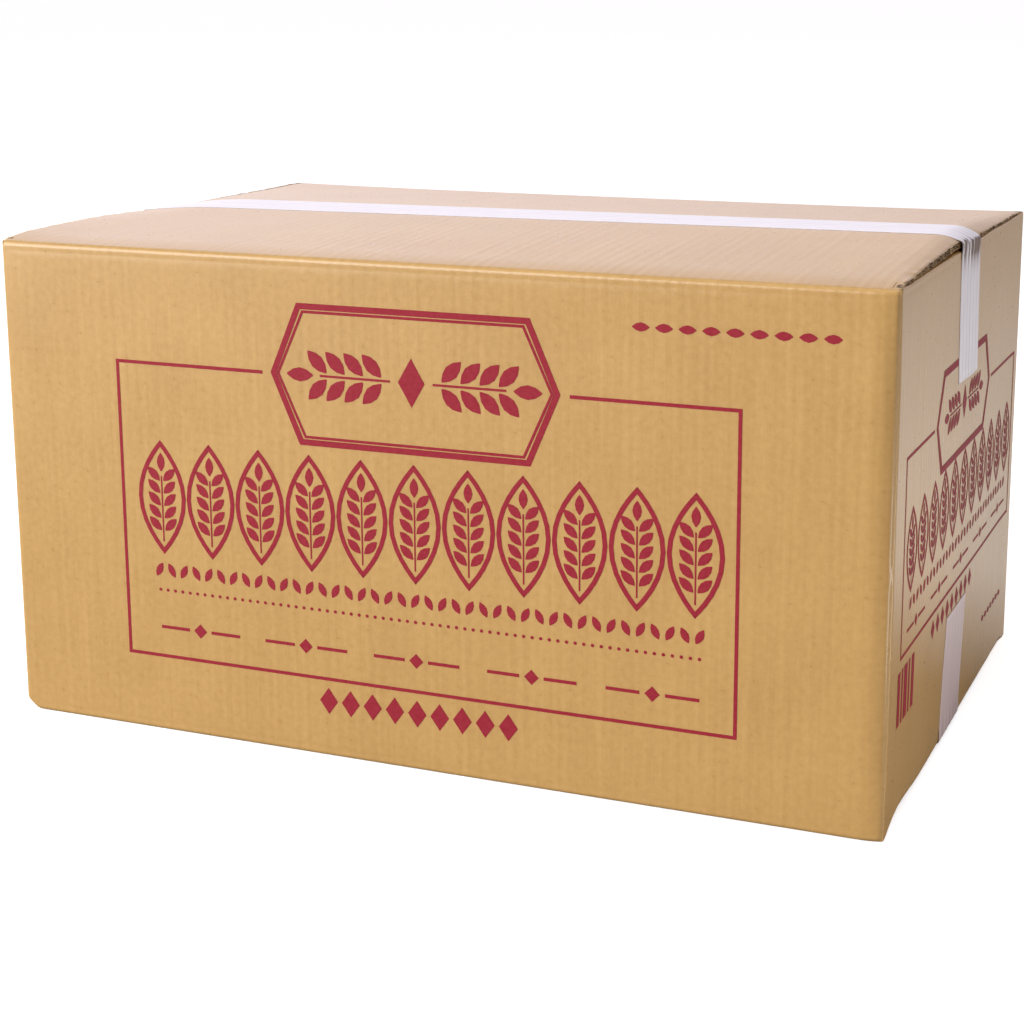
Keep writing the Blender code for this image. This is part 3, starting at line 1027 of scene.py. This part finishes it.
TAPES = {
    "tape_top": SimpleNamespace(level=1, drop=TOP_TAPE_DROP + 0.0025, start=-0.0018, lean=0.0097,
                                slant=0.0012, gathered=1.0),
    "tape_bottom": SimpleNamespace(level=-1, drop=BOTTOM_TAPE_DROP, start=-0.0137, lean=0.0131,
                                   slant=0.0, gathered=0.2),
}
TAPE_FOLD_RADIUS = 0.0014
TAPE_STRAIGHT = HALF_LENGTH - TAPE_FOLD_RADIUS
TAPE_FOLD_END = TAPE_STRAIGHT + TAPE_FOLD_RADIUS * math.pi / 2
TAPE_DRIFT_LENGTH = 0.120
GATHER_LENGTH = 0.0125
GATHER_RAGGEDNESS = 0.0030
TAPE_SETTLES_FROM = 0.004
TAPE_SETTLES_OVER = 0.008
TAPE_HALF_ROWS = 28
TAPE_BROAD_STEP = 0.009
TAPE_MIDDLE_STEP = 0.0030
TAPE_CLOSE_STEP = 0.0015
TAPE_END_STEP = 0.004
TAPE_CLOSE_REACH = 0.025
GATHER_PITCH = 0.0046
GATHER_RUN = 0.030
RAGGED_PITCH = 0.006
RIB_SQUARENESS = 0.35


def rib_profile(across, form):
    """The tape's ribs: broad rounded bands with narrow grooves between them, from 0 to 1."""
    rib_pitch = 2 * HALF_TAPE / form.rib_count
    return abs(math.sin(math.pi * (across + HALF_TAPE) / rib_pitch)) ** RIB_SQUARENESS


def gather(tape, along, across):
    """The folds that a tape gathers in under an edge: how near they are, and how deep."""
    ragged = GATHER_RAGGEDNESS * noise.noise(Vector((across / RAGGED_PITCH, 0.0, 8.0)))
    hanging = abs(along) - TAPE_FOLD_END + ragged
    near = smooth(1.5 + hanging / TAPE_FOLD_RADIUS)
    near *= math.exp(-(max(hanging, 0.0) / GATHER_LENGTH) ** 2) * tape.gathered
    creases = noise.noise(Vector((across / GATHER_PITCH, along / GATHER_RUN, 3.0)))
    return near, smooth(0.62 + 1.7 * creases)


def tape_relief(tape, along, across, form):
    """The ribs of a tape, and the wrinkles where it turns down over an edge."""
    near, depth = gather(tape, along, across)
    return form.rib_height * rib_profile(across, form) + form.wrinkle_height * near * (1 - depth)


def wall_face(side, y, z, off, form):
    """Where an end panel's face, or a point a little off it, is at a height."""
    strip = RIGHT_END if side > 0 else LEFT_END
    return place(strip, side * y, z - HALF_HEIGHT, -off / BOARD_BODY, form).x


def lay_point(tape, along, across, form):
    """Where a point of a flat tape comes to lie on the carton."""
    side = math.copysign(1.0, along)
    turned = min(max(abs(along) - TAPE_STRAIGHT, 0.0) / TAPE_FOLD_RADIUS, math.pi / 2)
    hanging = max(abs(along) - TAPE_FOLD_END, 0.0)
    out = min(abs(along), TAPE_STRAIGHT) + TAPE_FOLD_RADIUS * math.sin(turned)
    below = TAPE_FOLD_RADIUS * (1 - math.cos(turned)) + hanging
    below -= tape.slant * across / HALF_TAPE * hanging / tape.drop
    near_end = smooth(1 - (HALF_LENGTH - out) / TAPE_DRIFT_LENGTH)
    y = across + near_end * (tape.start + tape.lean * below / tape.drop)
    off = form.tape_clearance + tape_relief(tape, along, across, form)
    x = side * (out + off * math.sin(turned))
    if tape.level > 0:
        z = HEIGHT - FACE_DEPTH + top_lift(x, y) - below + off * math.cos(turned)
    else:
        z = FACE_DEPTH + bottom_lift(x, y) + below - off * math.cos(turned)
    point = wander(Vector((x, y, z)), form)
    if below > TAPE_SETTLES_FROM:
        settled = smooth((below - TAPE_SETTLES_FROM) / TAPE_SETTLES_OVER)
        point.x = blend(point.x, wall_face(side, y, z, off, form), settled)
    return point


def lay_tape(name, form, material):
    """One tape along its seam and down over both ends."""
    tape = TAPES[name]
    columns = lines_from([(TAPE_STRAIGHT - RIGHT_FLAP_END.fall, TAPE_BROAD_STEP),
                          (TAPE_STRAIGHT, TAPE_MIDDLE_STEP),
                          (TAPE_FOLD_END, TAPE_FOLD_RADIUS * math.pi / 2 / FOLD_STEPS),
                          (TAPE_FOLD_END + TAPE_CLOSE_REACH, TAPE_CLOSE_STEP),
                          (TAPE_FOLD_END + tape.drop - TAPE_FOLD_RADIUS, TAPE_END_STEP)])
    rows = lines_from([(HALF_TAPE, HALF_TAPE / TAPE_HALF_ROWS)])
    bm = flat_grid(mirrored(columns, columns), mirrored(rows, rows))
    flat_map = bm.loops.layers.uv.new("blank")
    rib = bm.verts.layers.float.new("rib")
    gathered = bm.verts.layers.float.new("gather")
    lower = bm.verts.layers.float.new("low")
    for vertex in bm.verts:
        for loop in vertex.link_loops:
            loop[flat_map].uv = (vertex.co.x, vertex.co.y)
        near, depth = gather(tape, vertex.co.x, vertex.co.y)
        vertex[rib] = rib_profile(vertex.co.y, form)
        # The valleys of these folds take the painted shade
        vertex[gathered] = near * depth
        vertex[lower] = 1.0 if tape.level < 0 else 0.0
        vertex.co = lay_point(tape, vertex.co.x, vertex.co.y, form)
    if tape.level < 0:
        bmesh.ops.reverse_faces(bm, faces=bm.faces[:])
    piece = finish_piece(bm, name + "_ribbed", material, slot=TAPE_SLOT,
                         thickness=form.tape_thickness, offset=1.0)
    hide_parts(name)


def length(name, description, default):
    """A length that the user may change."""
    return bpy.props.FloatProperty(name=name, description=description, default=default, min=0.0,
                                   unit="LENGTH")


def colour(name, description, default):
    """A colour that the user may change, as an sRGB hex value."""
    return bpy.props.StringProperty(name=name, description=description, default=default)


def amount(name, description, default, subtype="NONE"):
    """A brightness or a power that the user may change."""
    return bpy.props.FloatProperty(name=name, description=description, default=default, min=0.0,
                                   subtype=subtype)


def angle(name, description, degrees):
    """An angle that the user may change."""
    return bpy.props.FloatProperty(name=name, description=description,
                                   default=math.radians(degrees), subtype="ANGLE")


class CartonSizes(bpy.types.PropertyGroup):
    """Sizes of the board's relief, the ink and the tape."""

    dent_depth: length("Panel hollows", "Deepest slow hollow in a panel or flap", 0.0007)
    groove_depth: length("Score groove", "Depth of the groove beside each scored fold", 0.00022)
    edge_wander: length("Edge wander", "How far the carton's edges wander inwards", 0.0004)
    crumple_height: length("Crumpled edges", "Height of the crumples at the flaps' side edges",
                           0.0011)
    tear_depth: length("Torn edges", "How far the torn layers stand out and draw back", 0.0016)
    flap_play: length("Flap play", "Room between a major flap and the minor flap under it", 0.0007)
    ink_lift: length("Ink lift", "How far the ink lies over the liner", 0.00012)
    ink_thickness: length("Ink thickness", "Thickness of the printed figures", 0.00005)
    rib_count: bpy.props.IntProperty(
        name="Tape ribs", description="Ribs across the width of the tape", default=6, min=1)
    rib_height: length("Rib height", "Height of the tape's ribs", 0.00022)
    wrinkle_height: length("Tape wrinkles", "Height of the gathers where the tape turns down",
                           0.0005)
    tape_clearance: length("Tape clearance", "Gap between the board and the tape", 0.00006)
    tape_thickness: length("Tape thickness", "Thickness of the tape between its ribs", 0.00012)
    washboard_depth: length("Washboard", "Depth of the flutes that show through the liner", 0.00014)


class CartonFinish(bpy.types.PropertyGroup):
    """Colours of the board, the ink and the tape, and the light around them."""

    kraft_light: colour("Kraft, light", "Lightest colour of the outer liner", "#C39C61")
    kraft_dark: colour("Kraft, dark", "Darkest colour of the outer liner", "#B18B53")
    # The liner along its folds: worn, and lighter as a painted highlight of the rounded folds
    kraft_worn_and_highlight: colour("Kraft, worn", "Colour of the liner along its folds", "#D3B27E")
    fluting_light: colour("Fluting, light", "Lightest colour of the board's inside", "#A98552")
    fluting_dark: colour("Fluting, dark", "Darkest colour of the board's inside", "#8A6A3E")
    torn_light: colour("Torn board, light", "Pulled fibres at a torn edge", "#C3A67C")
    # Painted shade in the hollows of a torn edge
    torn_shade: colour("Torn board, dark", "The shaded core at a torn edge", "#54422E")
    ink_full: colour("Ink, full", "The ink where it covers fully", "#8A192A")
    ink_thin: colour("Ink, thin", "The ink where the paper shows through", "#972A37")
    tape_white: colour("Tape, white", "Lightest colour of the tape", "#F0EDF3")
    tape_shade: colour("Tape, shade", "Darkest colour of the tape", "#E5E1E9")
    # Painted shade in the grooves between the ribs, where the tape is also thinner
    tape_groove_shade: colour("Tape, grooves", "The thin tape between its ribs", "#CBC2CA")
    # Painted shade in the valleys of the tape's gathered folds, with the board showing through
    tape_gathered_shade: colour("Tape, gathered", "The tape in its deep folds, board showing through",
                          "#69503F")
    # The whole bottom tape, darker and pinker than the top one
    tape_bottom_tone: colour("Tape, scuffed", "The bottom tape, dulled by the floor", "#CDB4AD")
    floor_white: colour("Floor", "Colour of the studio floor", "#F2F2F2")
    floor_bounce: colour("Floor bounce", "Colour of the floor as it lights the carton", "#8E8478")
    floor_sheen: amount("Floor behind", "Light that the floor behind sends on to the carton", 0.9)
    floor_glow: amount("Floor glow", "Light that the white floor gives by itself", 0.65)


class CartonStage(bpy.types.PropertyGroup):
    """The studio: the camera and the lights."""

    camera_place: bpy.props.FloatVectorProperty(
        name="Camera", description="Where the camera stands", size=3,
        default=(0.5439, -1.3042, 0.5067), subtype="XYZ", unit="LENGTH")
    camera_azimuth: angle("Azimuth", "Turn of the view to the left of straight ahead", 22.687)
    camera_elevation: angle("Elevation", "How far the view looks down", 11.280)
    camera_roll: angle("Roll", "Turn of the camera about its view", 0.328)
    key_power: amount("Key light", "Power of the soft light at the front left", 445.0, "POWER")
    top_power: amount("Top light", "Power of the soft light overhead", 9.0, "POWER")
    fill_power: amount("Fill light", "Power of the low soft light at the right", 0.68, "POWER")
    room_light: amount("Room", "Brightness of the studio walls around", 0.24)
    backdrop_light: amount("Backdrop", "Brightness of the white backdrop behind", 1.42)


CAMERA_LENS = 70.85
CAMERA_SHIFT = (-0.02432, -0.13820)
FLOOR_HALF_SIZE = 60.0
BACKDROP_TINT = "#FFF6FF"
BACKDROP_AT_RIGHT = 0.32
BACKDROP_AT_LEFT = 1.3
LIGHTS = {
    "key": SimpleNamespace(place=(-3.2, -3.8, 2.1), target=(0.0, 0.0, HALF_HEIGHT), size=4.2),
    "top": SimpleNamespace(place=(0.6, -0.1, 2.0), target=(0.0, 0.0, HALF_HEIGHT), size=1.2),
    "fill": SimpleNamespace(place=(0.6, -0.2, 0.04), target=(HALF_LENGTH, -0.1, 0.1), size=0.2),
}


def values_of(group):
    """A property group's values, as plain ones."""
    return SimpleNamespace(**{name: getattr(group, name) for name in group.__annotations__})


def set_camera(stage):
    """The camera at the photographed view, from the carton's corners."""
    data = bpy.data.cameras.new("camera")
    data.sensor_width = 36.0
    data.sensor_fit = "HORIZONTAL"
    data.lens = CAMERA_LENS
    data.shift_x, data.shift_y = CAMERA_SHIFT
    data.clip_end = 200.0
    camera = bpy.data.objects.new("camera", data)
    azimuth, elevation = stage.camera_azimuth, stage.camera_elevation
    gaze = Vector((-math.sin(azimuth) * math.cos(elevation), math.cos(azimuth) * math.cos(elevation),
                   -math.sin(elevation)))
    turn = gaze.to_track_quat("-Z", "Y").to_matrix().to_4x4()
    roll = Matrix.Rotation(-stage.camera_roll, 4, "Z")
    camera.matrix_world = Matrix.Translation(stage.camera_place) @ turn @ roll
    bpy.context.scene.collection.objects.link(camera)
    bpy.context.scene.camera = camera


def add_soft_light(name, power):
    """A square soft light at its place, facing its target."""
    plan = LIGHTS[name]
    data = bpy.data.lights.new(name + "_light", "AREA")
    data.shape = "SQUARE"
    data.size = plan.size
    data.energy = power
    light = bpy.data.objects.new(name + "_light", data)
    aim = (Vector(plan.target) - Vector(plan.place)).to_track_quat("-Z", "Y")
    light.matrix_world = Matrix.Translation(plan.place) @ aim.to_matrix().to_4x4()
    bpy.context.scene.collection.objects.link(light)


def set_world(stage):
    """Dim studio walls, and a bright backdrop low down behind the carton, dimmer at the right."""
    world = bpy.data.worlds.new("studio")
    bpy.context.scene.world = world
    world.use_nodes = True
    world.node_tree.nodes.clear()
    add = partial(add_node, world.node_tree)
    direction = add("TexCoord", out="Generated")
    x, y, z = [add("SeparateXYZ", [direction], out=axis) for axis in "XYZ"]
    share = add("MapRange", (y, 0.0, 0.6))
    low = add("MapRange", (z, 0.90, 0.25))
    side = add("MapRange", (x, 0.3, -0.6, BACKDROP_AT_RIGHT, BACKDROP_AT_LEFT))
    for part in (low, side):
        share = add("Math", (share, part), operation="MULTIPLY")
    light = add("MapRange", (share, 0.0, 1.2, stage.room_light, 1.2 * stage.backdrop_light))
    seen = add("Math", (add("LightPath", out="Is Camera Ray"), 1.1), operation="MULTIPLY")
    strength = add("Math", (light, seen), operation="MAXIMUM")
    backdrop = add("Background", {"Color": linear(BACKDROP_TINT), "Strength": strength})
    add("OutputWorld", {"Surface": backdrop})


def set_floor(finish):
    """The studio floor, wide enough to fill the view."""
    bm = bmesh.new()
    bmesh.ops.create_grid(bm, x_segments=1, y_segments=1, size=FLOOR_HALF_SIZE)
    mesh = bpy.data.meshes.new("floor")
    bm.to_mesh(mesh)
    bm.free()
    mesh.materials.append(floor_material(finish))
    floor = bpy.data.objects.new("floor", mesh)
    bpy.context.scene.collection.objects.link(floor)


class CARTON_OT_set_stage(bpy.types.Operator):
    """Set up the floor, the lights and the camera"""

    bl_idname = "carton.set_stage"
    bl_label = "Set the Stage"

    def execute(self, context):
        stage = values_of(context.scene.carton_stage)
        set_floor(values_of(context.scene.carton_finish))
        set_world(stage)
        for name in LIGHTS:
            add_soft_light(name, getattr(stage, name + "_power"))
        set_camera(stage)
        context.scene.view_settings.view_transform = "Standard"
        return {"FINISHED"}


class CARTON_OT_fold_blank(bpy.types.Operator):
    """Fold the corrugated blank: outer liner, inner liner and fluting"""

    bl_idname = "carton.fold_blank"
    bl_label = "Fold the Blank"

    def execute(self, context):
        form = values_of(context.scene.carton_sizes)
        finish = values_of(context.scene.carton_finish)
        outer = kraft_liner_material(finish, form.washboard_depth)
        inner = inner_board_material(finish)
        liner = {"slot": BOARD_SLOT, "thickness": LINER_THICKNESS}
        medium = {"slot": BOARD_SLOT, "thickness": MEDIUM_THICKNESS, "offset": 0.0}
        outside = finish_piece(fold_liner(0.0, 1.0, form), "liner_outside", outer, **liner)
        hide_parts(*BOARD_NODES)
        finish_piece(fold_liner(1.0, 1.6, form), "liner_inside", inner, **liner)
        finish_piece(fold_medium(form), "fluting_medium", inner, **medium)
        finish_piece(tear_edges(form), "torn_flap_edges", torn_board_material(finish), **medium)
        return {"FINISHED"}


class CARTON_OT_print_panels(bpy.types.Operator):
    """Print the four panels in dark red"""

    bl_idname = "carton.print_panels"
    bl_label = "Print the Panels"

    def execute(self, context):
        form = values_of(context.scene.carton_sizes)
        ink = ink_material(values_of(context.scene.carton_finish))
        for name, strip in (("print_front", FRONT), ("print_back", BACK)):
            print_panel(name, strip, draw_long_panel, form, ink)
        for name, strip in (("print_right_end", RIGHT_END), ("print_left_end", LEFT_END)):
            print_panel(name, strip, draw_end_panel, form, ink)
        return {"FINISHED"}


class CARTON_OT_lay_tapes(bpy.types.Operator):
    """Lay the ribbed tapes along the top and bottom seams"""

    bl_idname = "carton.lay_tapes"
    bl_label = "Lay the Tapes"

    def execute(self, context):
        form = values_of(context.scene.carton_sizes)
        material = tape_material(values_of(context.scene.carton_finish))
        for name in TAPES:
            lay_tape(name, form, material)
        return {"FINISHED"}


class CARTON_PT_sidebar(bpy.types.Panel):
    """Lists the steps that make the carton"""

    bl_idname = "CARTON_PT_sidebar"
    bl_label = "Sealed Shipping Carton"
    bl_space_type = "VIEW_3D"
    bl_region_type = "UI"
    bl_category = "Carton"

    def draw(self, context):
        for step in (CARTON_OT_fold_blank, CARTON_OT_print_panels, CARTON_OT_lay_tapes,
                     CARTON_OT_set_stage):
            self.layout.operator(step.bl_idname)
        for group in (context.scene.carton_sizes, context.scene.carton_finish,
                      context.scene.carton_stage):
            box = self.layout.box()
            for name in group.__annotations__:
                box.prop(group, name)


CLASSES = (CartonSizes, CartonFinish, CartonStage, CARTON_OT_set_stage, CARTON_OT_fold_blank,
           CARTON_OT_print_panels, CARTON_OT_lay_tapes, CARTON_PT_sidebar)


def register():
    for item in CLASSES:
        bpy.utils.register_class(item)
    bpy.types.Scene.carton_sizes = bpy.props.PointerProperty(type=CartonSizes)
    bpy.types.Scene.carton_finish = bpy.props.PointerProperty(type=CartonFinish)
    bpy.types.Scene.carton_stage = bpy.props.PointerProperty(type=CartonStage)


def unregister():
    del bpy.types.Scene.carton_stage
    del bpy.types.Scene.carton_finish
    del bpy.types.Scene.carton_sizes
    for item in reversed(CLASSES):
        bpy.utils.unregister_class(item)


def main():
    register()
    bpy.ops.carton.fold_blank()
    bpy.ops.carton.print_panels()
    bpy.ops.carton.lay_tapes()
    bpy.ops.carton.set_stage()


if __name__ == "__main__":
    main()
